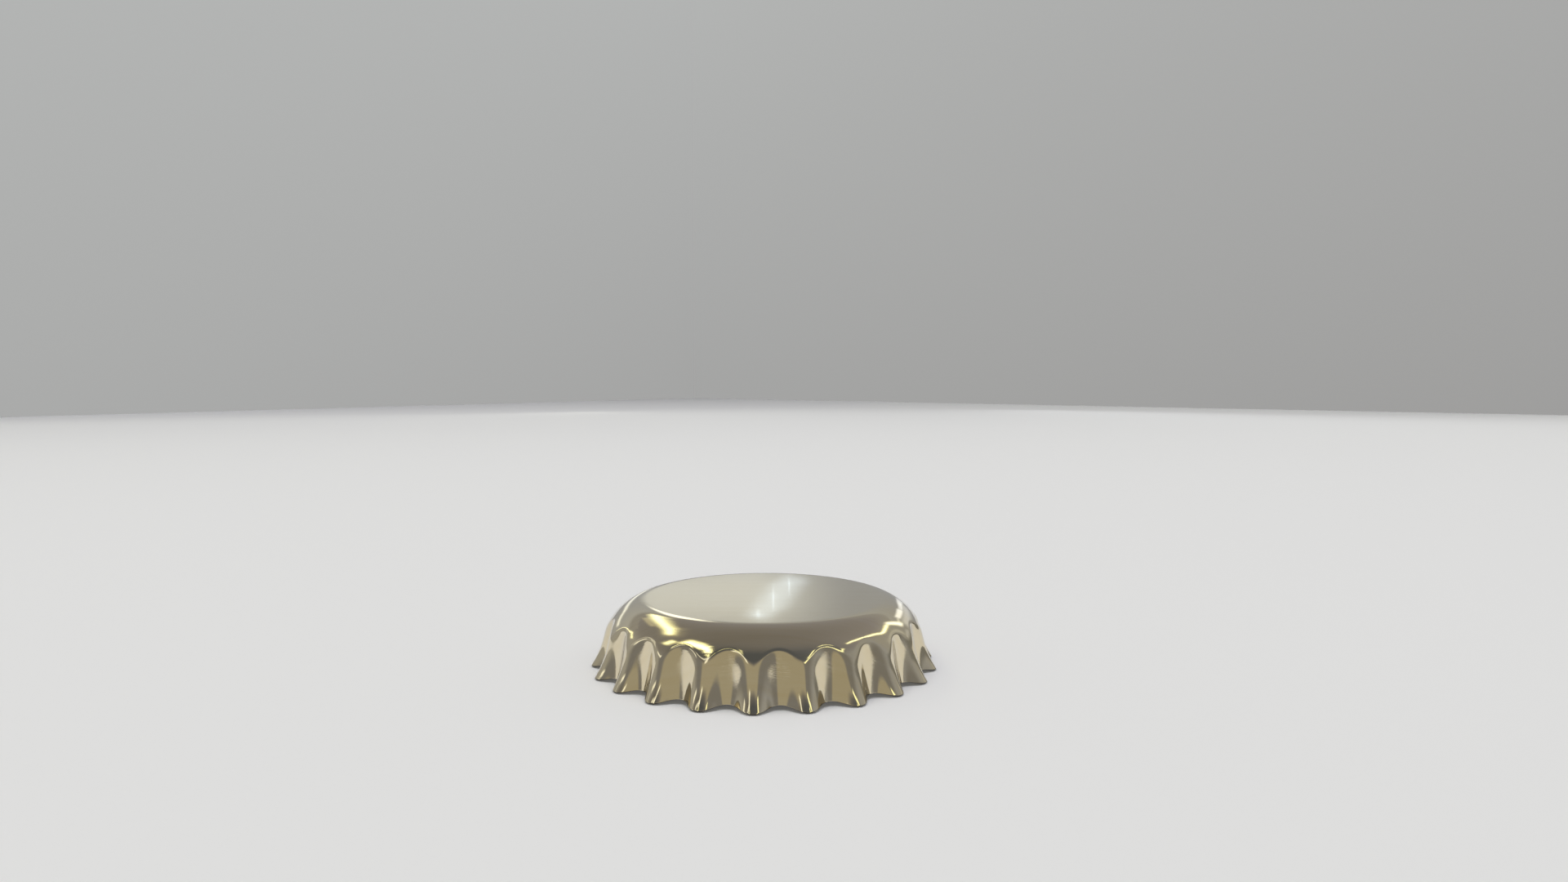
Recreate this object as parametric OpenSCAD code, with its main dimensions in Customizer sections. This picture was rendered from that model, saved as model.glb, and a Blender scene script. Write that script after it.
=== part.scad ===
// Crown closure for a beverage bottle, before crimping.
// A round blank of thin steel is pressed into a flat panel, a rolled shoulder and a
// fluted skirt that flares out into teeth. A moulded liner is bonded under the panel.
// The crown stands on its teeth: +Z is up and one tooth points along -Y.

/* [Crown] */
// Diameter over the tips of the teeth
crown_d = 32.1; // [27:0.1:39]
// Height from the standing edge to the top of the panel
crown_h = 6.27; // [5.2:0.01:7.8]
// Thickness of the steel sheet
sheet_t = 0.24; // [0.18:0.01:0.3]
// Radius of the rolled shoulder, on the outside
shoulder_r = 4.2; // [3.5:0.05:5.2]

/* [Teeth] */
// Number of teeth around the skirt
tooth_count = 22; // [18:1:27]
// How far the tips stand out past the roll of the shoulder
tip_flare = 1.12; // [0.8:0.01:1.4]
// Depth of the flutes between the teeth, measured at the edge
flute_depth = 1.38; // [1:0.01:1.65]
// Drop from the panel to the rounded head of each flute
flute_drop = 1.54; // [1.3:0.01:2]
// Drop from the panel to the point where two flutes meet on a ridge
cusp_drop = 2.37; // [2.1:0.01:3]
// Shape of the head of each flute: 1 is a plain arch, and less is squarer
head_power = 0.76; // [0.5:0.02:1]
// Height of the edge between two teeth above the edge on a tooth
edge_lift = 0.27; // [0:0.01:0.4]
// Outward lean of the teeth at their tips, in degrees from upright
tip_lean = 33; // [26:1:38]
// How much further a trough leans at its edge than a straight line down from its head
trough_bow = 2.5; // [0:0.1:6]

/* [Liner] */
// Thickness of the web that covers the middle of the panel
web_t = 0.3; // [0.2:0.05:0.45]
// Thickness of the flat seat that closes on the lip of the bottle
seat_t = 0.55; // [0.5:0.05:0.7]
// Width of the flat seat
seat_w = 2.1; // [1.6:0.1:2.4]
// Height of the small ring just inside the seat
inner_ring_h = 0.8; // [0.7:0.05:1]
// Width of the small ring
inner_ring_w = 0.7; // [0.5:0.05:0.8]
// Height of the outer bead, which fills the corner under the shoulder
bead_h = 1.1; // [0.9:0.05:1.3]
// Width of the outer bead
bead_w = 1.8; // [1.5:0.1:2.2]
// Free space between the liner and the roll of the shoulder
liner_gap = 0.1; // [0.05:0.01:0.15]

/* [Smoothness] */
// Steps around each tooth of the skirt
steps_per_tooth = 8; // [4:2:10]

/* [Hidden] */
$fn = 96;
EPS = 0.001;                  // step for the slopes that give the sheet's normals
POINT_ROUNDING = 0.13;        // rounding of the point where two flutes meet, as a share
TROUGH_REACH = [0.205, 0.35]; // how far a trough keeps its lean at its head and its edge
RIDGE_REACH = [0.235, 0.585]; // the same for a ridge, both as shares of its length
SHOULDER_ROWS = 5;            // rings from the panel to the flutes
SKIRT_ROWS = 6;               // rings from the head of a flute to the edge

tip_r = crown_d / 2;
panel_r = tip_r - tip_flare - shoulder_r;
roll_centre_z = crown_h - shoulder_r;
liner_top_z = crown_h - sheet_t;
columns = tooth_count * steps_per_tooth;

// The bead reaches out to the roll of the shoulder at half of its own height
roll_space_r = shoulder_r - sheet_t - liner_gap;
bead_middle_rise = liner_top_z - bead_h / 2 - roll_centre_z;
bead_outer_r = panel_r + sqrt(pow(roll_space_r, 2) - pow(bead_middle_rise, 2));

steel_gold = [0.78, 0.70, 0.52];
liner_white = [0.87, 0.87, 0.84];

// --- Shape of the outer face of the sheet ------------------------------------
// u is the angle around the crown, in degrees from the tooth at -Y.
// v runs down the face: 0 at the panel, 1 at the head of the flutes, 2 at the edge.

function mix(a, b, share) = a + (b - a) * share;

// 1 on the crest of a tooth, 0 in the trough between two teeth
function crest(u) = (1 + cos(tooth_count * u)) / 2;

// Distance from 0, with its point at 0 rounded off
function rounded(a) = max(norm([a, POINT_ROUNDING]) - POINT_ROUNDING, 0);

// Outline of the flutes' heads: 0 on a tooth and 1 over a trough
function arch(u) = pow(rounded(sin(tooth_count * u / 2)) / rounded(1), head_power);

// Angle turned by the shoulder where it has dropped by d below the panel
function roll_angle(d) = acos(1 - d / shoulder_r);

function flute_head_angle(u) = roll_angle(mix(cusp_drop, flute_drop, arch(u)));

// Points below are [radius, height]
function on_roll(a) = [panel_r + shoulder_r * sin(a), roll_centre_z + shoulder_r * cos(a)];

function edge_point(u) = [
    tip_r - flute_depth * (1 - crest(u)),
    sheet_t * sin(tip_lean) + edge_lift * (1 - crest(u))
];

function bezier(p, t) =
    p[0] * pow(1 - t, 3) + 3 * p[1] * t * pow(1 - t, 2) + 3 * p[2] * t * t * (1 - t) + p[3] * pow(t, 3);

// A trough runs almost straight from head to edge. A ridge leaves the shoulder smoothly
// and leans out to tip_lean at its tip. Between them the leans are mixed.
function skirt_curve(u) =
    let (
        head = flute_head_angle(u),
        start = on_roll(head),
        end = edge_point(u),
        chord = end - start,
        straight = atan2(chord[0], -chord[1]),
        start_lean = mix(straight, 90 - head, crest(u)),
        end_lean = mix(straight + trough_bow, tip_lean, crest(u)),
        reach = norm(chord) * mix(TROUGH_REACH, RIDGE_REACH, crest(u))
    )
    [
        start,
        start + reach[0] * [sin(start_lean), -cos(start_lean)],
        end - reach[1] * [sin(end_lean), -cos(end_lean)],
        end
    ];

function section(u, v) =
    v <= 1 ? on_roll(flute_head_angle(u) * v) : bezier(skirt_curve(u), v - 1);

function place(u, p) = [p[0] * sin(u), -p[0] * cos(u), p[1]];

function outer_point(u, v) = place(u, section(u, v));

function unit(a) = a / norm(a);

function outward(u, v) =
    let (
        down = outer_point(u, min(v + EPS, 2)) - outer_point(u, max(v - EPS, 0)),
        around = outer_point(u + EPS, v) - outer_point(u - EPS, v)
    )
    unit(cross(down, around));

// The inner face lies one sheet thickness behind the outer one
function inner_point(u, v) =
    v == 0 ? place(u, [panel_r, liner_top_z]) : outer_point(u, v) - sheet_t * outward(u, v);

// --- The pressed sheet -------------------------------------------------------

// Rings in order around the section of the sheet: down the outer face from the panel
// to the edge, and back up the inner face.
row_v = [
    for (i = [0:SHOULDER_ROWS]) i / SHOULDER_ROWS,
    for (i = [1:SKIRT_ROWS]) 1 + i / SKIRT_ROWS
];

function column_angle(c) = 360 * c / columns;

module pressed_rim() {
    flat_r = panel_r - sheet_t;
    flat_top = [for (c = [0:columns - 1]) place(column_angle(c), [flat_r, crown_h])];
    flat_under = [for (c = [0:columns - 1]) place(column_angle(c), [flat_r, liner_top_z])];
    outer = [for (v = row_v, c = [0:columns - 1]) outer_point(column_angle(c), v)];
    inner = [for (i = [len(row_v) - 1:-1:0], c = [0:columns - 1]) inner_point(column_angle(c), row_v[i])];
    rings = 2 * len(row_v) + 2;

    function corner(ring, c) = (ring % rings) * columns + c % columns;

    polyhedron(
        points = concat(flat_top, outer, inner, flat_under),
        faces = [
            for (ring = [0:rings - 1], c = [0:columns - 1], half = [0, 1])
                half == 0
                ? [corner(ring, c), corner(ring, c + 1), corner(ring + 1, c + 1)]
                : [corner(ring, c), corner(ring + 1, c + 1), corner(ring + 1, c)]
        ],
        convexity = 8
    );
}

module crown_shell() {
    color(steel_gold)
    union() {
        translate([0, 0, liner_top_z]) cylinder(r = panel_r - sheet_t / 2, h = sheet_t);
        pressed_rim();
    }
}

// --- The moulded liner -------------------------------------------------------

// A ring of the liner's section: a strip with rounded corners, hanging from the panel
module hanging_ring(inner_r, width, height) {
    corner_r = min(width, height) / 2 - EPS;
    foot_z = liner_top_z - height;
    for (r = [inner_r + corner_r, inner_r + width - corner_r])
        translate([r, foot_z + corner_r]) circle(r = corner_r);
    translate([inner_r + corner_r, foot_z]) square([width - 2 * corner_r, height]);
    translate([inner_r, foot_z + corner_r]) square([width, height - corner_r]);
}

// A flat layer of the liner's section, on the underside of the panel
module flat_layer(inner_r, outer_r, thickness) {
    translate([inner_r, liner_top_z - thickness]) square([outer_r - inner_r, thickness]);
}

// The space under the panel, clear of the roll of the shoulder
module space_under_panel() {
    translate([0, roll_centre_z]) square([panel_r, liner_top_z - roll_centre_z]);
    translate([panel_r, roll_centre_z])
    intersection() {
        circle(r = roll_space_r);
        square(roll_space_r);
    }
}

module liner_section() {
    seat_outer_r = bead_outer_r - bead_w;
    seat_inner_r = seat_outer_r - seat_w;
    intersection() {
        union() {
            flat_layer(0, seat_inner_r, web_t);
            flat_layer(seat_inner_r - inner_ring_w / 2, seat_outer_r + bead_w / 2, seat_t);
            hanging_ring(seat_inner_r - inner_ring_w, inner_ring_w, inner_ring_h);
            hanging_ring(seat_outer_r, bead_w, bead_h);
        }
        space_under_panel();
    }
}

module sealing_liner() {
    color(liner_white)
    rotate_extrude()
    liner_section();
}

crown_shell();
sealing_liner();
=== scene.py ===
"""A fluted bottle cap standing on its teeth, dressed for a studio picture.

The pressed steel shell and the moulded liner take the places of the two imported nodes.
Sizes inside the classes are millimetres; meshes are written in metres.
"""
import logging
import math
from bisect import bisect
from dataclasses import dataclass
from enum import Enum
from functools import cached_property
from typing import Any

import bmesh
import bpy
from mathutils import Matrix, Vector


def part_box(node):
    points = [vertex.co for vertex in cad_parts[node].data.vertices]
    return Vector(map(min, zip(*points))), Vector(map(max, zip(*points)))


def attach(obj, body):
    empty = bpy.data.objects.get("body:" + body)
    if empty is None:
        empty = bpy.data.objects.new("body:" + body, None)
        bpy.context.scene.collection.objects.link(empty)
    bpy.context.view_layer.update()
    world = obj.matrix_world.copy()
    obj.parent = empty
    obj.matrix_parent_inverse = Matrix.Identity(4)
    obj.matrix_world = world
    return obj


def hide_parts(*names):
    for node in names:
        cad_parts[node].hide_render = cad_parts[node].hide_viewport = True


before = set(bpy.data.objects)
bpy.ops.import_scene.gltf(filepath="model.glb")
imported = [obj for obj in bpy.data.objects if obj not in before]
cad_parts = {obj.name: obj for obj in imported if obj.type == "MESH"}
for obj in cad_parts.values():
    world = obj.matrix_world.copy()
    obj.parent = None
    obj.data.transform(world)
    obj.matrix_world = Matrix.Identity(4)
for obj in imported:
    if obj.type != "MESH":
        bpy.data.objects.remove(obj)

LOG = logging.getLogger("bottle_cap")
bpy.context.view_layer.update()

MM = 0.001
FULL_TURN = 2 * math.pi
BODY = "root"
WELD = 1e-5             # millimetres within which two points of a spun mesh are one
SLOPE_STEP = 0.01       # share of a curve over which its direction is measured
GRAIN_MAP = "blank"     # UV map that lays the sheet out flat, as the blank was
MAP_SPAN = 44.0         # millimetres of blank across the whole of that map

Colour = tuple[float, float, float]
Point = tuple[float, float]
Place = tuple[float, float, float]
Stops = tuple[tuple[float, Colour], ...]    # places from 0 to 1 and their colours

WHITE = (1.0, 1.0, 1.0)


class Side(Enum):
    """The three kinds of surface on the pressed sheet, as material slots of its mesh."""

    OUTSIDE = 0
    INSIDE = 1
    CUT_EDGE = 2


def mix(low: float, high: float, share: float) -> float:
    """Returns the value that lies that share of the way from low to high."""
    return low + (high - low) * share


def lean_vector(lean: float) -> Vector:
    """Returns the unit step down a wall, as (radius, height), that leans out by lean radians."""
    return Vector((math.sin(lean), -math.cos(lean)))


def cubic(points: tuple[Vector, Vector, Vector, Vector], share: float) -> Vector:
    """Returns the point at that share of a cubic Bezier curve.

    Args:
        points: the two ends and, between them, their two handles.
        share: 0 at the first end and 1 at the last.

    Returns:
        The point on the curve.
    """
    rest = 1 - share
    return (
        points[0] * rest**3
        + points[1] * 3 * share * rest**2
        + points[2] * 3 * share**2 * rest
        + points[3] * share**3
    )


# --- Node trees ---


class NodeBench:
    """Lays out the nodes of one material or world and joins them."""

    def __init__(self, tree: bpy.types.NodeTree) -> None:
        """Empties the tree.

        Args:
            tree: the node tree to fill.
        """
        self.tree = tree
        tree.nodes.clear()

    def add(self, kind: str, inputs: dict[str, Any] | None = None, **settings: Any) -> bpy.types.Node:
        """Adds a node and fills it in.

        Args:
            kind: the node's type, without the word ShaderNode.
            inputs: values or sockets for its inputs, by name or by index.
            **settings: the node's own settings.

        Returns:
            The new node.
        """
        node = self.tree.nodes.new("ShaderNode" + kind)
        for name, value in settings.items():
            setattr(node, name, value)
        for name, value in (inputs or {}).items():
            if isinstance(value, bpy.types.NodeSocket):
                self.tree.links.new(value, node.inputs[name])
            else:
                node.inputs[name].default_value = value
        return node

    def maths(self, operation: str, *values: Any) -> bpy.types.NodeSocket:
        """Returns the result of a Math node on up to three values or sockets."""
        return self.add("Math", dict(enumerate(values)), operation=operation).outputs[0]

    def scaled(self, colour: Any, share: Any) -> bpy.types.NodeSocket:
        """Returns a colour or point made share times as large."""
        return self.add("VectorMath", {0: colour, "Scale": share}, operation="SCALE").outputs[0]

    def span(self, value: Any, source: Point, target: Point, smooth: bool = False) -> bpy.types.NodeSocket:
        """Maps one range of values onto another, and holds them inside it.

        Args:
            value: the socket to read.
            source: the range it is read over.
            target: the range that it is mapped to.
            smooth: eases both ends.

        Returns:
            The mapped value.
        """
        node = self.add(
            "MapRange",
            {0: value, 1: source[0], 2: source[1], 3: target[0], 4: target[1]},
            interpolation_type="SMOOTHSTEP" if smooth else "LINEAR",
        )
        return node.outputs[0]

    def blend(self, share: Any, first: Any, second: Any) -> bpy.types.NodeSocket:
        """Returns first mixed towards second, as colours, by share."""
        node = self.add("Mix", {0: share, 6: first, 7: second}, data_type="RGBA")
        return node.outputs[2]

    def times(self, first: Any, second: Any) -> bpy.types.NodeSocket:
        """Returns two colours or points multiplied part by part."""
        return self.add("VectorMath", {0: first, 1: second}, operation="MULTIPLY").outputs[0]

    def noise(self, place: Any, scale: float, detail: float) -> bpy.types.NodeSocket:
        """Returns a cloudy value from 0 to 1, scale times finer than a unit of place."""
        return self.add("TexNoise", {"Vector": place, "Scale": scale, "Detail": detail}).outputs[0]

    def object_point(self) -> bpy.types.NodeSocket:
        """Returns the place on the object in millimetres."""
        return self.times(self.add("TexCoord").outputs["Object"], (1 / MM,) * 3)

    def ramp(self, value: Any, stops: Stops) -> bpy.types.NodeSocket:
        """Returns the colour that a row of stops gives for value."""
        node = self.add("ValToRGB", {0: value})
        elements = node.color_ramp.elements
        while len(elements) < len(stops):
            elements.new(0.5)
        for element, (place, colour) in zip(elements, stops):
            element.position = place
            element.color = (*colour, 1)
        return node.outputs[0]


def blank_point(bench: NodeBench) -> bpy.types.NodeSocket:
    """Returns the place on the flat blank in millimetres, read from the sheet's own map."""
    return bench.times(bench.add("UVMap", uv_map=GRAIN_MAP).outputs[0], (MAP_SPAN,) * 3)


def streaks(bench: NodeBench, place: Any, size: Point, detail: float) -> bpy.types.NodeSocket:
    """Draws the straight grain that rolling leaves in sheet metal.

    Args:
        bench: the nodes to add to.
        place: the point on the blank, in millimetres.
        size: usual length and width of a streak, in millimetres.
        detail: how many finer layers lie on the first.

    Returns:
        A value from 0 to 1, around a half.
    """
    stretched = bench.add("Mapping", {0: place, "Scale": (1 / size[0], 1 / size[1], 1.0)})
    noise = bench.add(
        "TexNoise",
        {"Vector": stretched.outputs[0], "Scale": 1.0, "Detail": detail, "Roughness": 0.6},
        noise_dimensions="2D",
    )
    return noise.outputs[0]


# --- Finishes ---


class Finish:
    """A look that makes a material of its own."""

    name: str

    def shade(self, bench: NodeBench) -> bpy.types.NodeSocket:
        """Returns the look's shader, laid out on the bench."""
        raise NotImplementedError

    def material(self) -> bpy.types.Material:
        """Returns the finished material."""
        made = bpy.data.materials.new(self.name)
        made.use_nodes = True
        bench = NodeBench(made.node_tree)
        bench.add("OutputMaterial", {"Surface": self.shade(bench)})
        return made


@dataclass(frozen=True)
class LacqueredTinplate(Finish):
    """Bright rolled tinplate under a thin clear gold lacquer.

    Args:
        name: the material's name.
        pale: colour where the lacquer is thin.
        deep: colour where the lacquer lies thicker.
        roughness: how dull the metal is, before the grain.
        grain: how far the grain tilts the surface.
        peel: height of the lacquer's fine mottle, compared with the grain.
        anisotropy: how far reflections smear across the grain.
        lacquer: how much of the clear layer lies on the metal.
        grazing: how bright the metal stays at grazing angles.
        fine_streak: length and width of the grain's fine streaks, in millimetres.
        broad_streak: the same for its broad streaks.
        mottle: the same for the spots of the lacquer's mottle.
        relief: height of the grain, in millimetres.
    """

    name: str
    pale: Colour
    deep: Colour
    roughness: float
    grain: float
    peel: float
    anisotropy: float
    lacquer: float
    grazing: Colour = (0.72, 0.72, 0.72)
    fine_streak: Point = (5.0, 0.07)
    broad_streak: Point = (14.0, 0.55)
    mottle: Point = (0.13, 0.13)
    relief: float = 0.004

    def shade(self, bench: NodeBench) -> bpy.types.NodeSocket:
        """Returns the look's shader, laid out on the bench."""
        place = blank_point(bench)
        fine = streaks(bench, place, self.fine_streak, detail=3)
        broad = streaks(bench, place, self.broad_streak, detail=2)
        cloud = bench.noise(place, 0.11, 3.0)
        grain = bench.maths("MULTIPLY_ADD", fine, 0.75, bench.maths("MULTIPLY", broad, 0.25))
        peel = streaks(bench, place, self.mottle, detail=2)
        lacquer = bench.maths("MULTIPLY_ADD", cloud, 0.6, bench.maths("MULTIPLY", broad, 0.4))
        colour = bench.blend(bench.span(lacquer, (0.35, 0.65), (0, 1)), (*self.pale, 1), (*self.deep, 1))
        roughness = bench.span(grain, (0.3, 0.7), (self.roughness * 0.8, self.roughness * 1.25))
        relief = bench.maths("MULTIPLY_ADD", peel, self.peel, grain)
        bump = bench.add("Bump", {"Strength": self.grain, "Distance": self.relief * MM, "Height": relief})
        tangent = bench.add("Tangent", direction_type="UV_MAP", uv_map=GRAIN_MAP)
        metal = bench.add(
            "BsdfPrincipled",
            {
                "Base Color": colour,
                "Metallic": 1.0,
                "Roughness": roughness,
                "Anisotropic": self.anisotropy,
                "Specular Tint": (*self.grazing, 1),
                "Coat Weight": self.lacquer,
                "Coat Roughness": 0.015,
                "Coat IOR": 1.5,
                "Normal": bump.outputs[0],
                "Tangent": tangent.outputs[0],
            },
        )
        return metal.outputs[0]


@dataclass(frozen=True)
class CutSteel(Finish):
    """The sheet's sheared edge: bare steel, finely torn, coloured far darker than steel as painted shade,
    so that the downward-facing edge reads as a dark line.

    Args:
        name: the material's name.
        smooth_with_shade: colour where the steel is smooth, darkened by painted shade.
        torn_with_shade: colour where it is torn, darkened by painted shade.
        relief: height of the torn spots, in millimetres.
    """

    name: str = "cut_steel_edge_painted_shade"
    # Both colours hold painted shade: they are far darker than bare steel, so the edge beside the floor
    # renders dark.
    smooth_with_shade: Colour = (0.15, 0.14, 0.125)
    torn_with_shade: Colour = (0.07, 0.064, 0.055)
    relief: float = 0.01

    def shade(self, bench: NodeBench) -> bpy.types.NodeSocket:
        """Returns the look's shader, laid out on the bench."""
        place = bench.object_point()
        torn = bench.noise(place, 9.0, 4.0)
        colour = bench.blend(bench.span(torn, (0.35, 0.65), (0, 1)), (*self.smooth_with_shade, 1), (*self.torn_with_shade, 1))
        bump = bench.add("Bump", {"Strength": 0.5, "Distance": self.relief * MM, "Height": torn})
        metal = bench.add(
            "BsdfPrincipled",
            {"Base Color": colour, "Metallic": 1.0, "Roughness": 0.5, "Normal": bump.outputs[0]},
        )
        return metal.outputs[0]


@dataclass(frozen=True)
class LinerCompound(Finish):
    """Soft off-white sealing compound, moulded in place with a spinning punch.

    Args:
        name: the material's name.
        body: colour of the compound.
        thin: colour of its darker clouds.
        ring_pitch: from one of the punch's fine rings to the next, in millimetres.
        relief: height of the surface's grain, in millimetres.
    """

    name: str = "liner_compound"
    body: Colour = (0.74, 0.735, 0.70)
    thin: Colour = (0.66, 0.645, 0.585)
    ring_pitch: float = 0.22
    relief: float = 0.02

    def shade(self, bench: NodeBench) -> bpy.types.NodeSocket:
        """Returns the look's shader, laid out on the bench."""
        place = bench.object_point()
        level = bench.times(place, (1, 1, 0))
        radius = bench.add("VectorMath", {0: level}, operation="LENGTH").outputs["Value"]
        rings = bench.maths("SINE", bench.maths("MULTIPLY", radius, FULL_TURN / self.ring_pitch))
        clouds = bench.noise(place, 1.4, 5.0)
        fine = bench.noise(place, 11.0, 3.0)
        height = bench.maths("MULTIPLY_ADD", rings, 0.12, fine)
        colour = bench.blend(bench.span(clouds, (0.3, 0.7), (0, 1)), (*self.body, 1), (*self.thin, 1))
        roughness = bench.span(fine, (0.3, 0.7), (0.34, 0.5))
        bump = bench.add("Bump", {"Strength": 0.35, "Distance": self.relief * MM, "Height": height})
        soft = bench.add(
            "BsdfPrincipled",
            {
                "Base Color": colour,
                "Roughness": roughness,
                "IOR": 1.47,
                "Subsurface Weight": 0.35,
                "Subsurface Radius": (1.0, 0.9, 0.75),
                "Subsurface Scale": 0.6 * MM,
                "Normal": bump.outputs[0],
            },
        )
        return soft.outputs[0]


@dataclass(frozen=True)
class PlainSurface(Finish):
    """A plain matt stage surface with a little light of its own where it is seen or mirrored.

    Args:
        name: the material's name.
        colour: the colour that the lamps light.
        glow: stops of the glow, from the low side of the spread to the high side.
        axis: direction along which the glow changes, for a place in metres.
        spread: where along that axis the first colour ends and the last one starts.
    """

    name: str
    colour: Colour
    glow: Stops
    axis: Place = (0.0, 0.0, 1.0)
    spread: Point = (0.0, 1.0)

    def shade(self, bench: NodeBench) -> bpy.types.NodeSocket:
        """Returns the look's shader, laid out on the bench."""
        path = bench.add("LightPath").outputs
        seen = bench.maths("MAXIMUM", path["Is Camera Ray"], path["Is Glossy Ray"])
        seen = bench.maths("MAXIMUM", seen, path["Is Transmission Ray"])
        place = bench.add("TexCoord").outputs["Object"]
        along = bench.add("VectorMath", {0: place, 1: self.axis}, operation="DOT_PRODUCT").outputs["Value"]
        share = bench.span(along, self.spread, (0, 1))
        tone = bench.ramp(share, self.glow)
        matt = bench.add("BsdfDiffuse", {"Color": (*self.colour, 1)})
        glow = bench.add("Emission", {"Color": tone, "Strength": seen})
        return bench.add("AddShader", {0: matt.outputs[0], 1: glow.outputs[0]}).outputs[0]


# --- The object ---


def spin_round(bm: bmesh.types.BMesh, steps: int) -> None:
    """Spins a section about Z, closes the seam and turns all faces the same way.

    Args:
        bm: the mesh that holds the section.
        steps: faces around the whole turn.
    """
    section = bm.verts[:] + bm.edges[:]
    bmesh.ops.spin(bm, geom=section, axis=(0, 0, 1), angle=FULL_TURN, steps=steps, use_merge=True)
    bmesh.ops.remove_doubles(bm, verts=bm.verts, dist=WELD)
    bmesh.ops.recalc_face_normals(bm, faces=bm.faces)


def finish_piece(name: str, bm: bmesh.types.BMesh, materials: list[bpy.types.Material]) -> bpy.types.Object:
    """Turns a mesh in millimetres into a shaded object in metres.

    Args:
        name: the piece's name.
        bm: its mesh, which is freed.
        materials: its materials, in the order of its slots.

    Returns:
        The new object, at the origin.
    """
    bmesh.ops.scale(bm, vec=(MM,) * 3, verts=bm.verts)
    mesh = bpy.data.meshes.new(name)
    for face in bm.faces:
        face.smooth = True
    bm.to_mesh(mesh)
    bm.free()
    for material in materials:
        mesh.materials.append(material)
    piece = bpy.data.objects.new(name, mesh)
    bpy.context.scene.collection.objects.link(piece)
    return piece


def join_frame(piece: bpy.types.Object, node: str) -> None:
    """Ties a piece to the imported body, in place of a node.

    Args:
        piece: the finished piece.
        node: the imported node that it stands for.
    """
    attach(piece, BODY)
    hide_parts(node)


@dataclass(frozen=True)
class ShoulderRoll:
    """The rolled shoulder of the sheet, given by how far the sheet has turned along its length.

    Args:
        reach: length of sheet that the roll is drawn over.
        turned: degrees that the sheet has turned down at the end of that length.
        waves: departures from an even roll in degrees, for one half wave, two, and so on.
        step: length of sheet between two points of the drawn curve.
    """

    reach: float
    turned: float
    waves: tuple[float, ...]
    step: float = 0.01

    def angle(self, length: float) -> float:
        """Returns how far the sheet has turned, in radians, at that length from the panel."""
        share = length / self.reach
        wavy = sum(wave * math.sin(math.pi * count * share) for count, wave in enumerate(self.waves, 1))
        return math.radians(max(self.turned * share + wavy, 0))

    @cached_property
    def curve(self) -> list[Vector]:
        """Points of the curve from the panel, as distance out and height, a step apart."""
        points = [Vector((0, 0))]
        for count in range(round(self.reach / self.step)):
            turn = self.angle((count + 0.5) * self.step)
            points.append(points[-1] + Vector((math.cos(turn), -math.sin(turn))) * self.step)
        return points

    def point(self, length: float) -> Vector:
        """Returns the place at that length from the panel, as distance out and height."""
        count = min(max(int(length / self.step), 0), len(self.curve) - 2)
        return self.curve[count].lerp(self.curve[count + 1], length / self.step - count)

    def length_at_drop(self, drop: float) -> float:
        """Returns the length of sheet at which the roll has dropped that far."""
        count = bisect(self.curve, drop, key=lambda point: -point.y)
        upper, lower = self.curve[count - 1], self.curve[count]
        return (count - 1 + (upper.y + drop) / (upper.y - lower.y)) * self.step


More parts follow.
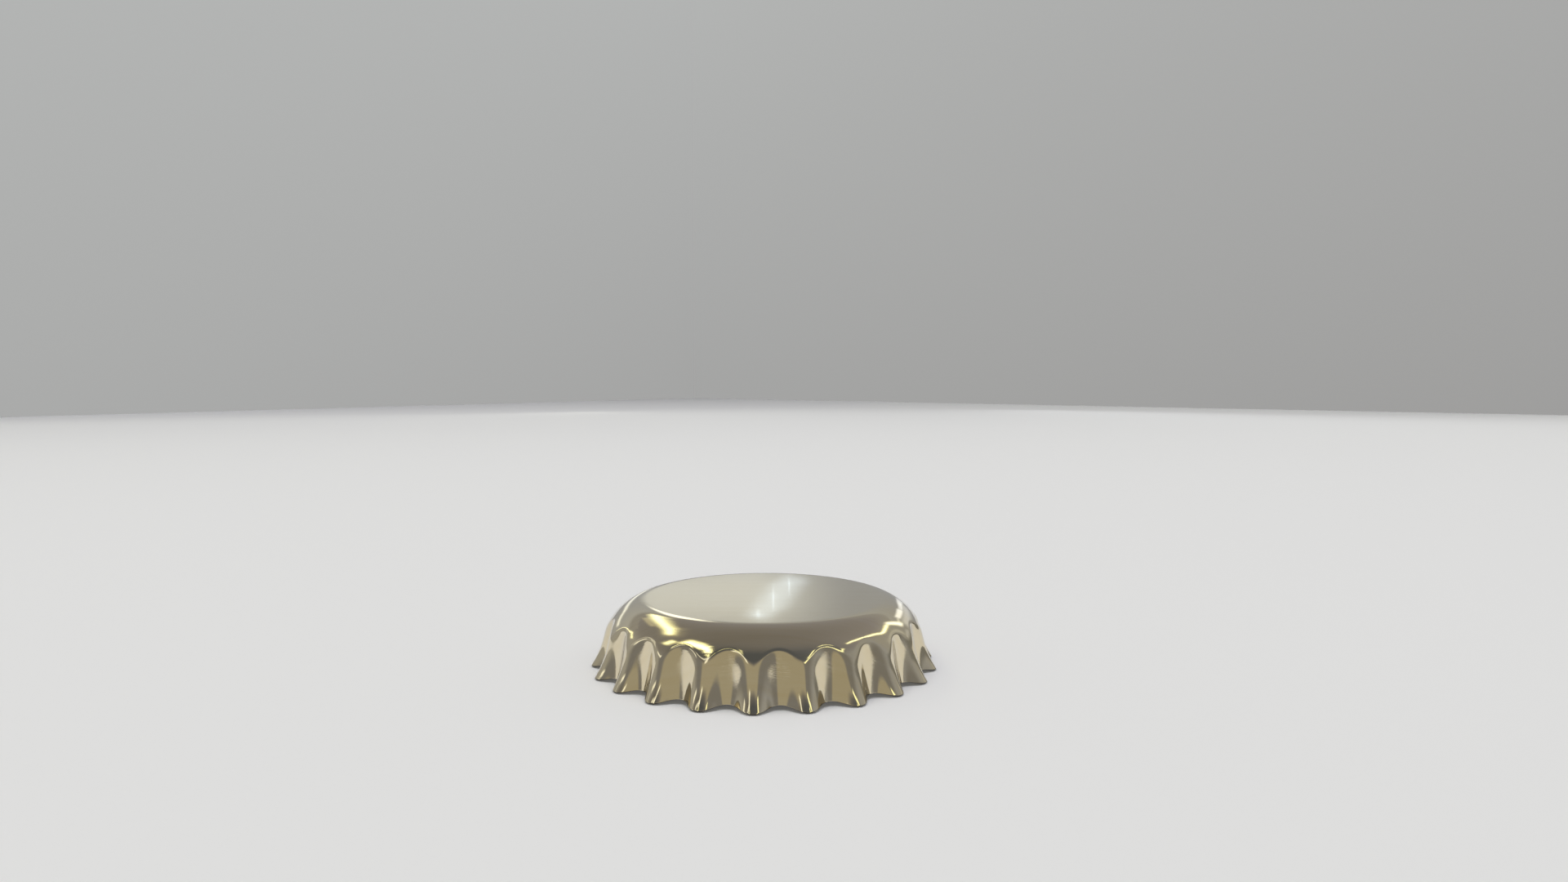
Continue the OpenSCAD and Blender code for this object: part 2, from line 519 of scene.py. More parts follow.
@dataclass
class CrownShell:
    """The steel shell: a round blank pressed into a panel, a rolled shoulder and a fluted skirt.

    Points of its section are (radius, height) in millimetres on the outer face. The angle
    turn, in radians, starts at the tooth that points along -Y. The value down runs from -1 at
    the middle of the panel to 0 at its edge, 1 where the bend over a flute starts, 2 where it
    ends and 3 at the cut edge.

    Args:
        tip_r: radius over the tips of the teeth.
        height: from the standing edge to the top of the panel.
        sheet: thickness of the steel.
        panel_r: radius of the flat panel.
        roll: the curve of the shoulder.
        teeth: number of teeth.
        flute_depth: depth of the flutes at the edge.
        flute_drop: drop from the panel to the rounded head of a flute.
        cusp_drop: drop from the panel to the point where two flutes meet.
        cusp_softness: rounding of that point, as a share of half a tooth.
        arch_power: shape of a flute's head, where 1 is a sine and less is squarer.
        crest_waves: how the cross-section of the teeth departs from a plain wave.
        edge_lift: height of the edge between two teeth above the edge on a tooth.
        tip_lean: outward lean of the teeth at their tips, in radians.
        trough_bow: how much further a trough leans than its chord, at its head and its edge.
        trough_handles: how far the curve of a trough keeps to those leans.
        ridge_handles: the same on a ridge.
        bend: length of sheet on each side of a flute's head that the bend takes up.
        edge_round: rounding of the two corners of the cut edge.
        edge_segments: faces around each of those roundings.
        edge_angle: least angle between two faces that is rounded, in radians.
        columns_per_tooth: faces around one tooth.
        panel_rows: faces across the panel, from its middle to its edge.
        roll_rows: faces down the roll.
        bend_rows: faces down the bend.
        skirt_rows: faces down the skirt.
        edge_margin: share of the skirt in its last face, which keeps the wall true to the edge.
        finishes: looks of its outside, its inside and its cut edge.
    """

    tip_r: float
    height: float
    sheet: float = 0.24
    panel_r: float = 10.83
    roll: ShoulderRoll = ShoulderRoll(reach=5.594, turned=75.05, waves=(2.29, 0.58, -0.41, -0.18))
    teeth: int = 22
    flute_depth: float = 1.377
    flute_drop: float = 1.542
    cusp_drop: float = 2.374
    cusp_softness: float = 0.131
    arch_power: float = 0.762
    crest_waves: Point = (0.002, -0.021)
    edge_lift: float = 0.27
    tip_lean: float = math.radians(32.8)
    trough_bow: Point = (math.radians(-0.8), math.radians(2.5))
    trough_handles: Point = (0.205, 0.35)
    ridge_handles: Point = (0.233, 0.587)
    bend: float = 0.329
    edge_round: float = 0.035
    edge_segments: int = 4
    edge_angle: float = math.radians(60)
    columns_per_tooth: int = 28
    panel_rows: int = 2
    roll_rows: int = 26
    bend_rows: int = 8
    skirt_rows: int = 24
    edge_margin: float = 0.015
    finishes: tuple[LacqueredTinplate, LacqueredTinplate, CutSteel] = (
        LacqueredTinplate(
            "gold_lacquer_outside",
            pale=(0.83, 0.735, 0.53),
            deep=(0.80, 0.69, 0.46),
            roughness=0.06,
            grain=0.25,
            peel=0.5,
            anisotropy=0.5,
            lacquer=1.0,
        ),
        LacqueredTinplate(
            "gold_lacquer_inside",
            pale=(0.80, 0.73, 0.56),
            deep=(0.76, 0.66, 0.46),
            roughness=0.20,
            grain=0.3,
            peel=0.5,
            anisotropy=0.3,
            lacquer=0.6,
        ),
        CutSteel(),
    )

    def crest(self, turn: float) -> float:
        """Returns 1 on the crest of a tooth and 0 in the trough between two teeth."""
        wave = self.teeth * turn
        second = self.crest_waves[0] * (math.cos(2 * wave) - 1)
        third = self.crest_waves[1] * (math.cos(3 * wave) - math.cos(wave))
        return (1 + math.cos(wave)) / 2 + second + third

    def arch(self, turn: float) -> float:
        """Returns the outline of the flutes' heads: 0 on a tooth and 1 over a trough."""
        soft = self.cusp_softness
        rise = math.hypot(math.sin(self.teeth * turn / 2), soft) - soft
        return max(rise / (math.hypot(1, soft) - soft), 0) ** self.arch_power

    def head(self, turn: float) -> float:
        """Returns the length of sheet from the panel to the head of a flute."""
        return self.roll.length_at_drop(mix(self.cusp_drop, self.flute_drop, self.arch(turn)))

    def on_roll(self, length: float) -> Vector:
        """Returns the point of the section at that length of sheet from the panel."""
        return Vector((self.panel_r, self.height)) + self.roll.point(length)

    def skirt_curve(self, turn: float) -> tuple[Vector, Vector, Vector, Vector]:
        """Draws the skirt's section, which is nearly straight in a trough and flared on a tooth.

        Args:
            turn: angle around the crown.

        Returns:
            The points of a cubic curve from the head of the flutes to the edge.
        """
        crest = self.crest(turn)
        head = self.head(turn)
        start = self.on_roll(head)
        end = Vector((
            self.tip_r - self.flute_depth * (1 - crest),
            self.sheet * math.sin(self.tip_lean) + self.edge_lift * (1 - crest),
        ))
        chord = end - start
        straight = math.atan2(chord.x, -chord.y)
        first = mix(straight + self.trough_bow[0], math.pi / 2 - self.roll.angle(head), crest)
        last = mix(straight + self.trough_bow[1], self.tip_lean, crest)
        handles = zip(self.trough_handles, self.ridge_handles)
        upper, lower = (chord.length * mix(*pair, crest) for pair in handles)
        return start, start + lean_vector(first) * upper, end - lean_vector(last) * lower, end

    def section(self, turn: float, down: float) -> Vector:
        """Places a point of the outer face.

        Args:
            turn: angle around the crown.
            down: how far down the face.

        Returns:
            Its radius and height.
        """
        bend_start = self.head(turn) - self.bend
        if down <= 1:
            return self.on_roll(bend_start * down)
        skirt = self.skirt_curve(turn)
        bend_end = self.bend / (skirt[3] - skirt[0]).length
        if down >= 2:
            return cubic(skirt, mix(bend_end, 1, down - 2))
        upper, lower = self.on_roll(bend_start), cubic(skirt, bend_end)
        below = (cubic(skirt, bend_end + SLOPE_STEP) - lower).normalized()
        handle = (lower - upper).length / 3
        above = lean_vector(math.pi / 2 - self.roll.angle(bend_start))
        return cubic((upper, upper + above * handle, lower - below * handle, lower), down - 1)

    def sheet_length(self, turn: float, down: float) -> float:
        """Measures how far a point lies from the middle of the flat blank.

        Args:
            turn: angle around the crown.
            down: how far down the face.

        Returns:
            Millimetres along the sheet.
        """
        head = self.head(turn)
        skirt = self.skirt_curve(turn)
        chord = (skirt[3] - skirt[0]).length
        if down <= 1:
            return self.panel_r + (head - self.bend) * down
        if down <= 2:
            return self.panel_r + head + self.bend * (2 * down - 3)
        return self.panel_r + head + mix(self.bend, chord, down - 2)

    def draw_cup(self) -> bmesh.types.BMesh:
        """Spins a plain section into a cup without flutes.

        Returns:
            The cup's outer face, with each vertex's value down kept in its layer "down".
        """
        bm = bmesh.new()
        down_layer = bm.verts.layers.float.new("down")
        rows = [i / self.panel_rows - 1 for i in range(self.panel_rows + 1)]
        rows += [i / self.roll_rows for i in range(1, self.roll_rows + 1)]
        rows += [1 + i / self.bend_rows for i in range(1, self.bend_rows + 1)]
        rows += [2 + i / self.skirt_rows for i in range(1, self.skirt_rows)]
        rows += [3 - self.edge_margin, 3]
        line = []
        for down in rows:
            radius, height = (self.panel_r * (1 + down), self.height) if down < 0 else self.section(0, down)
            vert = bm.verts.new((0, -radius, height))
            vert[down_layer] = down
            line.append(vert)
        for upper, lower in zip(line, line[1:]):
            bm.edges.new((upper, lower))
        spin_round(bm, self.teeth * self.columns_per_tooth)
        return bm

    def press_flutes(self, bm: bmesh.types.BMesh) -> None:
        """Presses the flutes into the cup and lays its flat map of the blank.

        Args:
            bm: the cup from draw_cup.
        """
        down_layer = bm.verts.layers.float["down"]
        flat_layer = bm.verts.layers.float_vector.new("flat")
        for vert in bm.verts:
            down = vert[down_layer]
            turn = math.atan2(vert.co.x, -vert.co.y)
            around = Vector((math.sin(turn), -math.cos(turn), 0))
            if down < 0:
                vert[flat_layer] = vert.co.xy.to_3d()
                continue
            radius, height = self.section(turn, down)
            vert.co = around * radius + Vector((0, 0, height))
            vert[flat_layer] = around * self.sheet_length(turn, down)
        blank = bm.loops.layers.uv.new(GRAIN_MAP)
        for face in bm.faces:
            for loop in face.loops:
                loop[blank].uv = loop.vert[flat_layer].xy / MAP_SPAN + Vector((0.5, 0.5))

    def build(self) -> bpy.types.Object:
        """Builds the shell, gives it its thickness and ties it to the frame.

        Returns:
            The finished piece.
        """
        bm = self.draw_cup()
        self.press_flutes(bm)
        if max(bm.faces, key=lambda face: face.calc_center_median().z).normal.z < 0:
            bmesh.ops.reverse_faces(bm, faces=bm.faces)
        piece = finish_piece("pressed_shell", bm, [finish.material() for finish in self.finishes])
        wall = piece.modifiers.new("sheet", "SOLIDIFY")
        wall.thickness = self.sheet * MM
        wall.offset = -1
        wall.use_even_offset = True
        wall.use_quality_normals = True
        wall.material_offset = Side.INSIDE.value
        wall.material_offset_rim = Side.CUT_EDGE.value
        corners = piece.modifiers.new("edge_corners", "BEVEL")
        corners.width = self.edge_round * MM
        corners.segments = self.edge_segments
        # The roundings take the cut edge's material, with its painted shade.
        corners.material = Side.CUT_EDGE.value
        corners.limit_method = "ANGLE"
        corners.angle_limit = self.edge_angle
        join_frame(piece, "crown_shell")
        return piece


@dataclass
class SealingLiner:
    """The moulded liner: a thin web, a small ring, a flat seat and a thick outer bead.

    Sizes are millimetres. Heights hang down from the underside of the panel, those of the
    web and the seat as well as those that end in _h, and widths end in _w.

    Args:
        top: height of the underside of the panel.
        outer_r: outer radius of the bead.
        panel_r: radius of the flat panel.
        rim_reach: how far past the panel's edge the liner leaves the sheet.
        ring_draft: how much narrower each side of the small ring is at its foot.
        bead_draft: the same for the inner side of the bead and its outer side.
        ring_rounding: rounding where the small ring meets the web, and of its foot.
        seat_rounding: rounding where the seat meets the small ring, and the bead.
        bead_rounding: rounding of the bead's foot, and of its rim.
    """

    top: float
    outer_r: float
    panel_r: float
    web: float = 0.3
    seat: float = 0.55
    seat_w: float = 2.1
    ring_h: float = 0.8
    ring_w: float = 0.7
    bead_h: float = 1.1
    bead_w: float = 1.8
    rim_reach: float = 0.1
    ring_draft: float = 0.12
    bead_draft: Point = (0.25, 0.1)
    ring_rounding: Point = (0.12, 0.22)
    seat_rounding: Point = (0.1, 0.2)
    bead_rounding: Point = (0.4, 0.1)
    rounding_segments: int = 5
    steps: int = 256
    finish: LinerCompound = LinerCompound()

    def profile(self) -> list[Place]:
        """Returns the section from the middle to the rim, as radius, height and rounding."""
        seat_outer = self.outer_r - self.bead_w
        seat_inner = seat_outer - self.seat_w
        ring_inner = seat_inner - self.ring_w
        web, seat = self.top - self.web, self.top - self.seat
        ring, bead = self.top - self.ring_h, self.top - self.bead_h
        rim_low = self.top - self.bead_h / 2
        return [
            (0, web, 0),
            (ring_inner, web, self.ring_rounding[0]),
            (ring_inner + self.ring_draft, ring, self.ring_rounding[1]),
            (seat_inner - self.ring_draft, ring, self.ring_rounding[1]),
            (seat_inner, seat, self.seat_rounding[0]),
            (seat_outer, seat, self.seat_rounding[1]),
            (seat_outer + self.bead_draft[0], bead, self.bead_rounding[0]),
            (self.outer_r - self.bead_draft[1], bead, self.bead_rounding[0]),
            (self.outer_r, rim_low, self.bead_rounding[1]),
            (self.panel_r + self.rim_reach, self.top, 0),
            (0, self.top, 0),
        ]

    def build(self) -> bpy.types.Object:
        """Spins the rounded section, dresses it and ties it to the frame.

        Returns:
            The finished piece.
        """
        bm = bmesh.new()
        corners = self.profile()
        line = [bm.verts.new((radius, 0, height)) for radius, height, _ in corners]
        for pair in zip(line, line[1:]):
            bm.edges.new(pair)
        for vert, (_, _, rounding) in zip(line, corners):
            if rounding:
                bmesh.ops.bevel(
                    bm, geom=[vert], affect="VERTICES", offset=rounding, offset_type="OFFSET",
                    segments=self.rounding_segments, profile=0.5, material=-1,
                )
        spin_round(bm, self.steps)
        piece = finish_piece("moulded_liner", bm, [self.finish.material()])
        join_frame(piece, "sealing_liner")
        return piece


# --- The studio ---


def toward(bearing: float, elevation: float) -> Vector:
    """Returns a direction from the cap: bearing in degrees from +Y towards +X, and elevation."""
    turn, rise = math.radians(bearing), math.radians(elevation)
    return Vector((math.sin(turn) * math.cos(rise), math.cos(turn) * math.cos(rise), math.sin(rise)))


@dataclass(frozen=True)
class Softbox:
    """A strip of flat lamps with soft edges, hung along a path of directions from the cap.

    Args:
        name: the lamp's name.
        path: bearing, elevation and width of the strip at each of its points, in degrees.
        level: brightness of its face, where 1 is white.
        colour: tint of the light.
        soft: share of its half-width over which its edges fade.
        hot: how much brighter its middle is, in plain white.
        core: share of its half-width that the hot middle takes.
        core_soft: share of that over which the hot middle fades.
        taper: share of its length over which it fades at both ends, if that is longer.
        distance: metres from the cap.
        mirrored: whether the metal mirrors it.
        joint: degrees by which one lamp of the strip overlaps the next.
    """

    name: str
    path: tuple[Place, ...]
    level: float
    colour: Colour = WHITE
    soft: float = 0.5
    hot: float = 0.0
    core: float = 0.4
    core_soft: float = 0.6
    taper: float = 0.0
    distance: float = 2.5
    mirrored: bool = True
    joint: float = 2.0

    def patch(
        self,
        bench: NodeBench,
        reach: float,
        soft: float,
        aspect: float,
        overlap: float,
        free: tuple[bool, bool],
    ) -> bpy.types.NodeSocket:
        """Draws a soft-edged patch on a lamp's face.

        Args:
            bench: the nodes to add to.
            reach: share of the half-width that the patch takes.
            soft: share of the half-width over which it fades.
            aspect: half-width of the lamp over its length.
            overlap: share of the length that lies over the next lamp.
            free: whether the strip ends there, at the lamp's first end and its last.

        Returns:
            1 in the middle of the patch and 0 outside it.
        """
        begin = (1 - reach) * aspect
        full = min(max(begin + soft * aspect, self.taper), 0.5)
        starts = (begin, full) if free[0] else (0.0, overlap)
        stops = (1 - full, 1 - begin) if free[1] else (1 - overlap, 1.0)
        place = bench.add("SeparateXYZ", {0: bench.add("NewGeometry").outputs["Parametric"]}).outputs
        off_centre = bench.maths("ABSOLUTE", bench.maths("MULTIPLY_ADD", place["Y"], 2.0, -1.0))
        sides = bench.span(off_centre, (reach - soft, reach), (1, 0), smooth=True)
        first = bench.span(place["X"], starts, (0, 1), smooth=True)
        last = bench.span(place["X"], stops, (1, 0), smooth=True)
        return bench.maths("MULTIPLY", sides, bench.maths("MULTIPLY", first, last))

    def hang(self, count: int) -> None:
        """Hangs one lamp of the strip, facing the cap, half a joint longer where another follows.

        Args:
            count: how many lamps of the strip come before it.
        """
        (*start, start_w), (*end, end_w) = self.path[count], self.path[count + 1]
        free = (count == 0, count == len(self.path) - 2)
        first, last = toward(*start) * self.distance, toward(*end) * self.distance
        along = (last - first).normalized()
        overlap = self.distance * math.radians(self.joint)
        first = first if free[0] else first - along * overlap / 2
        last = last if free[1] else last + along * overlap / 2
        centre = (first + last) / 2
        outward = (centre - along * centre.dot(along)).normalized()
        lamp = bpy.data.lights.new(self.name, "AREA")
        lamp.shape = "RECTANGLE"
        lamp.size = (last - first).length
        lamp.size_y = 2 * centre.length * math.tan(math.radians(start_w + end_w) / 4)
        lamp.energy = self.level * math.pi * lamp.size * lamp.size_y
        lamp.use_nodes = True
        bench = NodeBench(lamp.node_tree)
        shape = (lamp.size_y / lamp.size / 2, overlap / lamp.size, free)
        outline = self.patch(bench, 1.0, self.soft, *shape)
        light = bench.scaled(self.colour, outline)
        if self.hot:
            middle = self.patch(bench, self.core, self.core * self.core_soft, *shape)
            white = bench.scaled((self.hot / self.level,) * 3, middle)
            light = bench.add("VectorMath", {0: light, 1: white}, operation="ADD").outputs[0]
        glow = bench.add("Emission", {"Color": light})
        bench.add("OutputLight", {0: glow.outputs[0]})
        hung = bpy.data.objects.new(self.name, lamp)
        turned = Matrix((along, outward.cross(along), outward)).transposed().to_4x4()
        hung.matrix_world = Matrix.Translation(centre) @ turned
        hung.visible_camera = False
        hung.visible_glossy = self.mirrored
        bpy.context.scene.collection.objects.link(hung)

    def build(self) -> None:
        """Hangs all lamps of the strip."""
        for count in range(len(self.path) - 1):
            self.hang(count)


# Tints of the lamps
LEMON = (1.0, 1.0, 0.56)
AMBER = (1.0, 0.92, 0.5)
IVORY = (1.0, 1.01, 0.89)
COOL = (0.95, 0.98, 1.0)
BLUE = (0.69, 0.84, 1.0)


@dataclass(frozen=True)
class NearBox(Softbox):
    """A strip lower than the top of the backdrop, hung in front of it."""

    distance: float = 0.68


@dataclass(frozen=True)
class Spark(NearBox):
    """A small lamp that the panel mirrors as a bright point."""

    colour: Colour = BLUE
    soft: float = 1.0


# Tones of the room
WARM_WALL = (0.375, 0.35, 0.28)
GREY_WALL = (0.36, 0.36, 0.35)
COOL_WALL = (0.325, 0.335, 0.365)
DARK_OPENING = (0.205, 0.205, 0.215)
PALE_CEILING = (0.30, 0.293, 0.30)
DIM_CEILING = (0.187, 0.18, 0.175)
DARK_CEILING = (0.092, 0.10, 0.112)


@dataclass(frozen=True)
class Room:
    """The dim room around the stage, painted on the world.

    A direction's X, Y and Z are its parts, from -1 to 1. Bearings here run from 0 at -Y by
    way of -X, +Y and +X to 1.

    Args:
        walls: colours of the walls, by bearing.
        front: colours of the ceiling on the side of -Y, by Z.
        back: colours of the ceiling on the side of +Y, by Z.
        turnover: Y at which the ceiling is all front, and at which it is all back.
        tints: what the ceiling is multiplied by at its left end and its right end.
        tint_reach: X at which those tints are full, on either side.
        skirting: what the foot of the walls is multiplied by, by bearing.
        skirting_top: Z at which the skirting starts to fade, and at which it is gone.
        wall_top: Z at which the walls start to turn into the ceiling, and at which they end.
        right_rise: how much higher in Z the walls end at the far right.
    """

    walls: Stops = (
        (0.0, WARM_WALL),
        (0.11, WARM_WALL),
        (0.138, DARK_OPENING),
        (0.19, DARK_OPENING),
        (0.25, GREY_WALL),
        (0.66, GREY_WALL),
        (0.785, COOL_WALL),
        (0.86, DARK_OPENING),
        (0.918, DARK_OPENING),
        (0.94, WARM_WALL),
    )
    front: Stops = ((0.50, DIM_CEILING), (0.65, DARK_CEILING), (0.85, DARK_CEILING), (1.0, DIM_CEILING))
    back: Stops = ((0.40, PALE_CEILING), (1.0, DIM_CEILING))
    turnover: Point = (-0.6, 0.15)
    tints: tuple[Colour, Colour] = ((0.86, 0.86, 0.85), (1.18, 1.19, 1.33))
    tint_reach: float = 0.9
    skirting: Stops = (
        (0.0, WHITE),
        (0.603, WHITE),
        (0.612, (0.58, 0.58, 0.57)),
        (0.745, (0.58, 0.58, 0.57)),
        (0.80, WHITE),
    )
    skirting_top: Point = (0.10, 0.17)
    wall_top: Point = (0.36, 0.54)
    right_rise: float = 0.24

    def build(self) -> None:
        """Paints the room on the scene's world."""
        world = bpy.data.worlds.new("dim_room")
        bpy.context.scene.world = world
        world.use_nodes = True
        bench = NodeBench(world.node_tree)
        parts = bench.add("SeparateXYZ", {0: bench.add("TexCoord").outputs["Generated"]}).outputs
        turn = bench.maths("ARCTAN2", parts["X"], parts["Y"])
        bearing = bench.span(turn, (-math.pi, math.pi), (0, 1))
        front, back = bench.ramp(parts["Z"], self.front), bench.ramp(parts["Z"], self.back)
        ceiling = bench.blend(bench.span(parts["Y"], self.turnover, (0, 1), smooth=True), front, back)
        sideways = bench.span(parts["X"], (-self.tint_reach, self.tint_reach), (0, 1))
        left, right = self.tints
        ceiling = bench.times(ceiling, bench.blend(sideways, (*left, 1), (*right, 1)))
        foot = bench.ramp(bearing, self.skirting)
        foot = bench.blend(bench.span(parts["Z"], self.skirting_top, (0, 1)), foot, (*WHITE, 1))
        walls = bench.times(bench.ramp(bearing, self.walls), foot)
        lift = bench.span(parts["X"], (0, 1), (0, self.right_rise))
        above = bench.span(bench.maths("SUBTRACT", parts["Z"], lift), self.wall_top, (0, 1), smooth=True)
        room = bench.blend(above, walls, ceiling)
        surround = bench.add("Background", {"Color": room, "Strength": 1.0})
        bench.add("OutputWorld", {"Surface": surround.outputs[0]})


@dataclass
class Studio:
    """Floor, backdrop, room, camera and lamps, with the stage's sizes in metres.

    Args:
        wall_corner: where the backdrop's two walls meet.
        wall_bearings: bearings in which they run from there, in degrees.
        lens: focal length of the camera, in millimetres, on a sensor of the width sensor.
        eye: where the camera stands, in millimetres.
        heading: bearing and elevation in which it looks, in degrees.
    """

    floor_r: float = 1.6
    floor_sides: int = 128
    wall_corner: Point = (-0.129, 0.987)
    wall_bearings: Point = (-142.9, 124.1)
    wall_length: float = 0.735
    wall_height: float = 0.41
    floor: PlainSurface = PlainSurface("pale_floor", (0.85, 0.85, 0.85), ((0.0, (0.08, 0.08, 0.08)),))
    wall: PlainSurface = PlainSurface(
        "grey_backdrop",
        (0.05, 0.05, 0.05),
        ((0.0, (0.32, 0.318, 0.314)), (0.945, (0.43, 0.438, 0.433)), (1.0, (0.29, 0.285, 0.275))),
        axis=(-0.35, 0.0, 1.0),
        spread=(-0.16, 0.5),
    )
    room: Room = Room()
    lens: float = 24.444
    sensor: float = 36.0
    near_clip: float = 0.005
    eye: Place = (5.75, -98.47, 27.21)
    heading: Point = (-2.26, -3.7357)
    lamps: tuple[Softbox, ...] = (
        Softbox(
            "left_bank", (
                (-132.5, 48.3, 5), (-122, 56.7, 9), (-112, 56, 15.5), (-100, 55, 17), (-88.5, 52.5, 15),
            ),
            1.45, LEMON, soft=0.5, hot=0.9, core=0.56,
        ),
        Softbox("left_bank_end", ((-86.5, 51, 9), (-91, 38.5, 8)), 1.35, LEMON, soft=0.9, hot=0.3),
        Softbox("left_spur", ((-108.5, 48, 3.6), (-109.5, 38.2, 3.6)), 2.5, LEMON, soft=0.8),
        Softbox(
            "left_front", (
                (-73.5, 49, 9.5), (-52, 48.9, 11.5), (-38, 42.3, 12.5), (-26, 33.3, 11.5), (-17.5, 25, 9),
            ),
            1.5, LEMON, soft=1.0, hot=0.5,
        ),
        Softbox("left_front_halo", ((-82, 48, 18), (-56, 50.5, 20), (-38, 45, 16)), 0.17, AMBER, soft=1.0),
        Softbox("left_front_glow", ((-50, 40.5, 6), (-31, 29.5, 6)), 0.3, AMBER, soft=1.0),
        NearBox("crease_light", ((-11.5, 27.5, 7.5), (-10.7, 15, 7.5)), 1.35, IVORY, soft=0.7),
        NearBox(
            "thin_line", ((-67, 22, 2.4), (-59, 25, 2.4), (-53, 20.3, 2.6), (-51, 10.5, 2.8)), 1.3, LEMON
        ),
        NearBox(
            "left_glow", ((-44, 11, 5), (-28, 11.5, 5.6), (-12, 1.5, 5.6)),
            0.75, IVORY, soft=0.9, distance=0.64,
        ),
        Softbox("side_window", ((-113, 18.8, 9), (-89.5, 19, 8.5)), 0.8, IVORY, soft=0.8),
        Softbox("side_spur", ((-80, 15, 5), (-81, 34, 5)), 0.45, IVORY, soft=1.0),
        Softbox("rear_left", ((-153, 20.5, 12), (-142.5, 40, 13)), 1.02, IVORY, soft=1.0),
        Softbox(
            "rear_left_high", ((-150, 38.5, 9), (-135, 36.5, 7), (-115, 35.2, 4.5)), 0.8, IVORY, soft=0.9
        ),
        Softbox("rear_left_top", ((-140, 40.5, 3.4), (-131.8, 47.7, 3.4)), 1.7, LEMON, soft=0.7),
        Softbox("rear_left_foot", ((-149.7, 48, 3.8), (-148.5, 39.5, 3.8)), 1.1, LEMON, soft=0.8),
        Softbox("small_arc", ((-155, 63, 4), (-153.5, 47, 4)), 0.7, LEMON, soft=0.7),
        NearBox("right_low", ((12, 1, 5), (15.5, 8.5, 5), (22, 14.5, 5)), 0.6, COOL, soft=0.7),
        NearBox("right_low_upper", ((20.5, 14, 7), (33.3, 23, 7)), 1.0, COOL, soft=0.7),
        NearBox("right_haze", ((13, 4, 15), (41.5, 17.5, 12)), 0.38, COOL, soft=0.9),
        NearBox("right_link", ((32, 22.3, 3.5), (39.5, 22.5, 3.5)), 0.4, IVORY, soft=0.8),
        NearBox("right_rise", ((40.5, 17.5, 6.5), (41.3, 35, 9)), 1.6, IVORY, soft=1.0),
        Softbox(
            "right_haze_end", ((41.5, 14.5, 6.5), (50, 12.5, 6.5), (64, 11.5, 5.5)), 0.17, COOL, soft=0.9
        ),
        Softbox("right_glow", ((46, 21, 18), (72, 21, 18)), 0.14, IVORY, soft=0.8),
        Softbox(
            "right_front", (
                (41.5, 32.2, 5.4), (58.5, 34.2, 5.4), (63, 39.8, 5), (68.5, 43, 4.8), (77.5, 46.8, 4.2),
                (85, 49, 3.4), (93, 49.2, 3.4),
            ),
            1.3, LEMON, soft=0.9, hot=0.5,
        ),
        Softbox("right_side_top", ((114, 58, 4.5), (113.5, 50, 4.5)), 0.9, LEMON, soft=0.7),
        Softbox(
            "right_side", (
                (102.5, 45.8, 4), (116, 40, 3.9), (124, 37.6, 6.3), (138, 35.3, 9), (150, 27.5, 9),
            ),
            1.45, LEMON, soft=0.9,
        ),
        Softbox("right_rear_top", ((123, 53, 4.8), (140, 39.4, 5.2)), 1.75, LEMON, soft=0.8),
        NearBox("panel_glow", ((-0.7, 10.3, 2.6), (-4.4, 15, 2.6)), 0.41, BLUE, soft=0.9),
        Spark("spark_far", ((-1.77, 10.6, 0.2), (-1.77, 12.8, 0.2)), 0.55, taper=0.5),
        Spark("spark_middle", ((-2.77, 11.6, 0.2), (-2.77, 13.9, 0.2)), 0.55, taper=0.5),
        Spark("spark_near", ((-3.73, 13.1, 0.4), (-3.73, 15.1, 0.4)), 0.5, taper=0.5),
        Spark("far_glint", ((-1.77, 11.3, 0.9), (-1.77, 12, 0.9)), 0.14),
        Spark("middle_glint", ((-2.77, 12.2, 0.9), (-2.77, 12.9, 0.9)), 0.14),
        Spark("near_glint", ((-3.73, 13.7, 1.4), (-3.73, 14.7, 1.4)), 0.22),
        NearBox("panel_haze", ((-17, 12, 15), (2.6, 12, 14)), 0.37, IVORY, soft=1.0),
        Softbox(
            "overhead_fill", ((90, 60, 60), (-90, 60, 60)),
            2.0, (1.0, 1.0, 1.07), soft=0.4, distance=1.6, mirrored=False,
        ),
    )

    def build_floor(self) -> None:
        """Lays the floor and stands the two walls of the backdrop on it."""
        bm = bmesh.new()
        bmesh.ops.create_circle(bm, cap_ends=True, radius=self.floor_r / MM, segments=self.floor_sides)
        finish_piece("floor", bm, [self.floor.material()])
        walls = bmesh.new()
        corner = Vector((*self.wall_corner, 0)) / MM
        ends = [corner + toward(bearing, 0) * self.wall_length / MM for bearing in self.wall_bearings]
        feet = [walls.verts.new(point) for point in (ends[0], corner, ends[1])]
        edges = [walls.edges.new(pair) for pair in zip(feet, feet[1:])]
        raised = bmesh.ops.extrude_edge_only(walls, edges=edges)["geom"]
        top = [part for part in raised if isinstance(part, bmesh.types.BMVert)]
        bmesh.ops.translate(walls, vec=(0, 0, self.wall_height / MM), verts=top)
        backdrop = finish_piece("backdrop", walls, [self.wall.material()])
        for polygon in backdrop.data.polygons:
            polygon.use_smooth = False

    def build_camera(self) -> None:
        """Stands the camera low in front of the cap."""
        lens = bpy.data.cameras.new("camera")
        lens.sensor_width = self.sensor
        lens.lens = self.lens
        lens.clip_start = self.near_clip
        camera = bpy.data.objects.new("camera", lens)
        turned = toward(*self.heading).to_track_quat("-Z", "Y").to_matrix().to_4x4()
        camera.matrix_world = Matrix.Translation(Vector(self.eye) * MM) @ turned
        bpy.context.scene.collection.objects.link(camera)
        bpy.context.scene.camera = camera

    def build(self) -> None:
        """Sets up everything around the object."""
        self.build_floor()
        self.room.build()
        for lamp in self.lamps:
            lamp.build()
        self.build_camera()
        bpy.context.scene.view_settings.view_transform = "Standard"


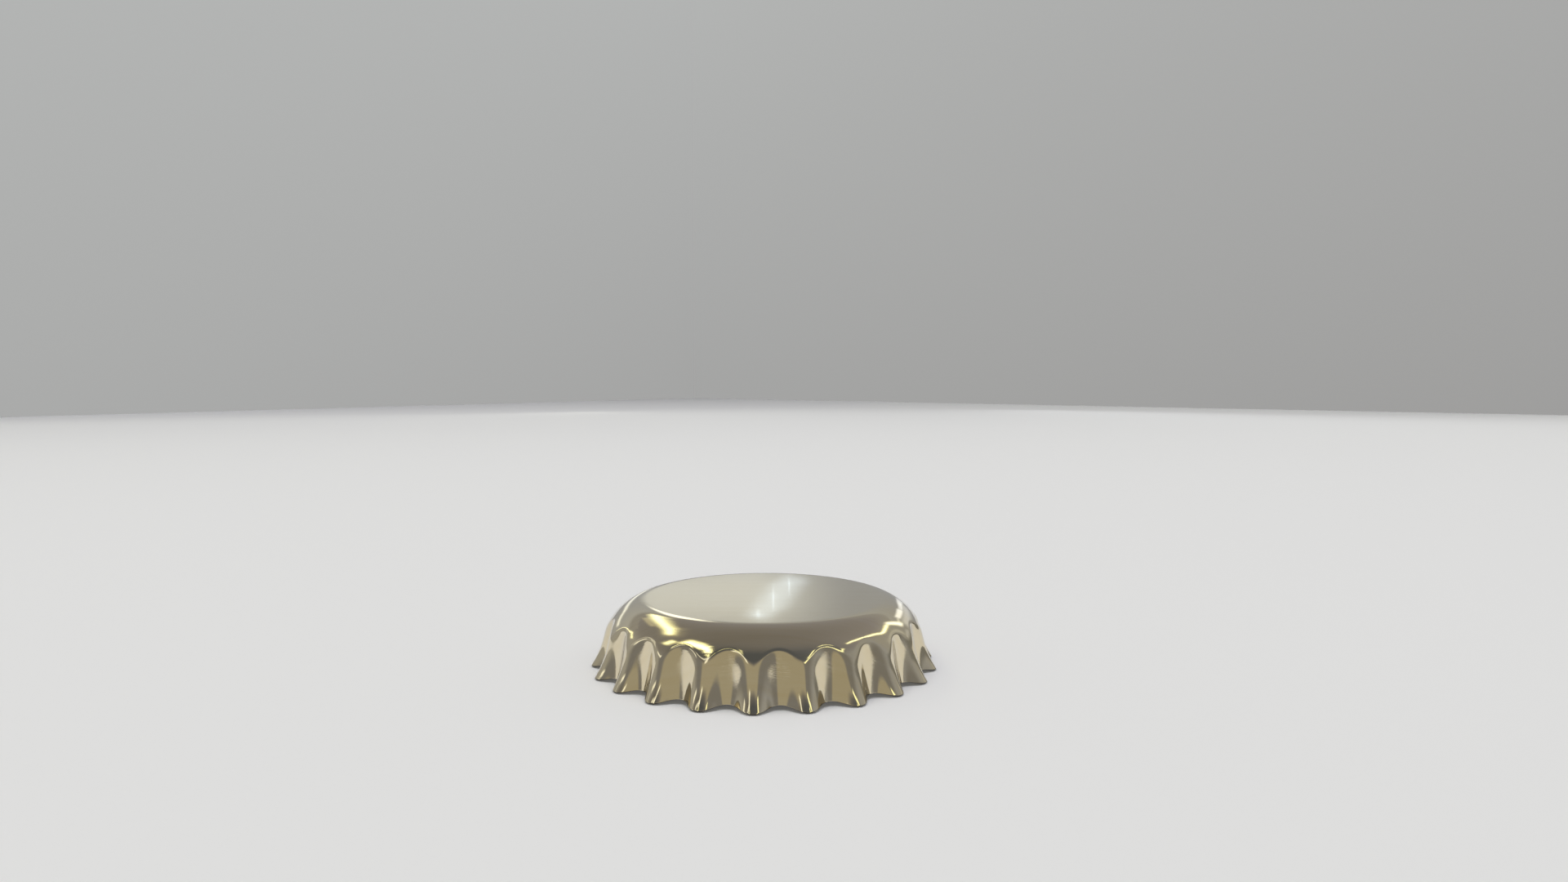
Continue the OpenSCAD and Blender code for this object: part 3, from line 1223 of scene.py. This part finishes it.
def main() -> None:
    """Builds the studio and the two pieces of the cap, and reports each."""
    logging.basicConfig(level=logging.INFO, format="%(message)s")
    Studio().build()
    low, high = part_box("crown_shell")
    shell = CrownShell(tip_r=-low.y / MM, height=high.z / MM)
    liner_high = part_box("sealing_liner")[1]
    liner = SealingLiner(top=liner_high.z / MM, outer_r=liner_high.x / MM, panel_r=shell.panel_r)
    for builder in (shell, liner):
        piece = builder.build()
        LOG.info("%s: %d faces in its cage", piece.name, len(piece.data.polygons))


if __name__ == "__main__":
    main()
